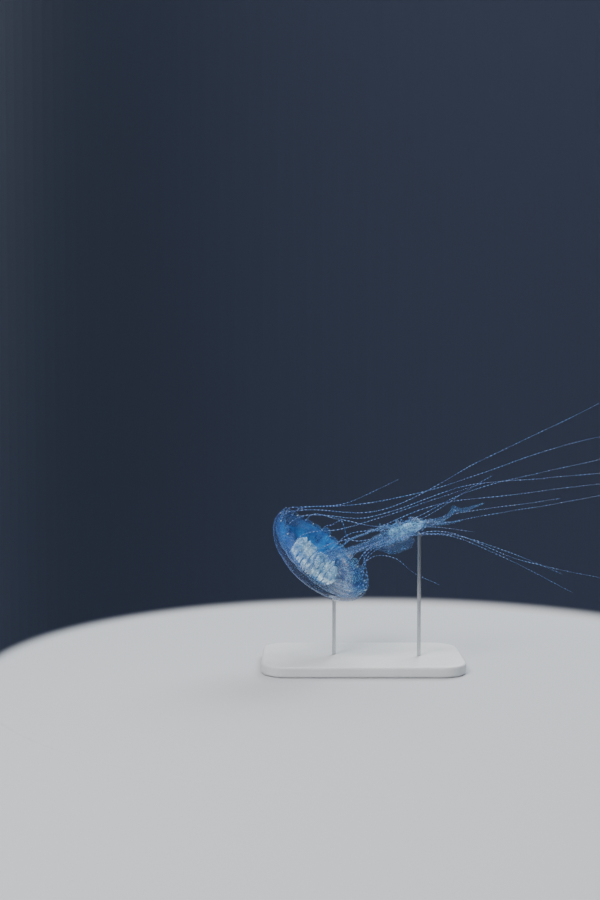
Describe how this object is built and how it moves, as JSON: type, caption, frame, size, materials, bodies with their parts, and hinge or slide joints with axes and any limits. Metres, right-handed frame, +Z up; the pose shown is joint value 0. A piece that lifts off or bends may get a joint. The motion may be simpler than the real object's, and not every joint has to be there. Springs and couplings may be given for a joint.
{
  "type": "jellyfish",
  "caption": "Small sea nettle, life size, swimming mouth up with its frilled arms and long thin tentacles streaming to one side, held by a plain rod stand.",
  "frame": {"origin": "middle of the underside of the stand's base", "axes": "+Z up, +X the way the arms and tentacles stream, -Y the side that the bell's mouth is turned a little towards"},
  "size_m": [0.3321, 0.1051, 0.2463],
  "materials": {
    "jelly": "clear wet jelly, blue, with small pale warts",
    "margin_jelly": "thin wet jelly, blue, with a pale rim",
    "gonad": "folded opaque tissue, near white",
    "arm_tissue": "thin wet frilled tissue, pale blue, speckled",
    "tentacle": "wet thread beaded with pale spots",
    "stand_paint": "matt light grey paint",
    "stand_steel": "plain steel rod"
  },
  "bodies": {
    "root": {"bell_dome": "jelly", "bell_margin": "margin_jelly", "gonad_1": "gonad", "gonad_2": "gonad", "gonad_3": "gonad", "gonad_4": "gonad", "manubrium": "arm_tissue", "oral_arm_back_1": "arm_tissue", "oral_arm_back_2": "arm_tissue", "oral_arm_back_3": "arm_tissue", "oral_arm_front_1": "arm_tissue", "oral_arm_front_2": "arm_tissue", "oral_arm_front_3": "arm_tissue", "oral_arm_lower_1": "arm_tissue", "oral_arm_lower_2": "arm_tissue", "oral_arm_lower_3": "arm_tissue", "oral_arm_upper_1": "arm_tissue", "oral_arm_upper_2": "arm_tissue", "oral_arm_upper_3": "arm_tissue", "stand_base": "stand_paint", "stand_rod_arms": "stand_steel", "stand_rod_bell": "stand_steel", "tentacle_01_root": "tentacle", "tentacle_01_tip": "tentacle", "tentacle_02_root": "tentacle", "tentacle_02_tip": "tentacle", "tentacle_03_root": "tentacle", "tentacle_03_tip": "tentacle", "tentacle_04_root": "tentacle", "tentacle_04_tip": "tentacle", "tentacle_05_root": "tentacle", "tentacle_05_tip": "tentacle", "tentacle_06_root": "tentacle", "tentacle_06_tip": "tentacle", "tentacle_07_root": "tentacle", "tentacle_07_tip": "tentacle", "tentacle_08_root": "tentacle", "tentacle_08_tip": "tentacle", "tentacle_09_root": "tentacle", "tentacle_09_tip": "tentacle", "tentacle_10_root": "tentacle", "tentacle_10_tip": "tentacle", "tentacle_11_root": "tentacle", "tentacle_11_tip": "tentacle", "tentacle_12_root": "tentacle", "tentacle_12_tip": "tentacle", "tentacle_13_root": "tentacle", "tentacle_13_tip": "tentacle", "tentacle_14_root": "tentacle", "tentacle_14_tip": "tentacle", "tentacle_15_root": "tentacle", "tentacle_15_tip": "tentacle", "tentacle_16_root": "tentacle", "tentacle_16_tip": "tentacle"}
  },
  "joints": []
}
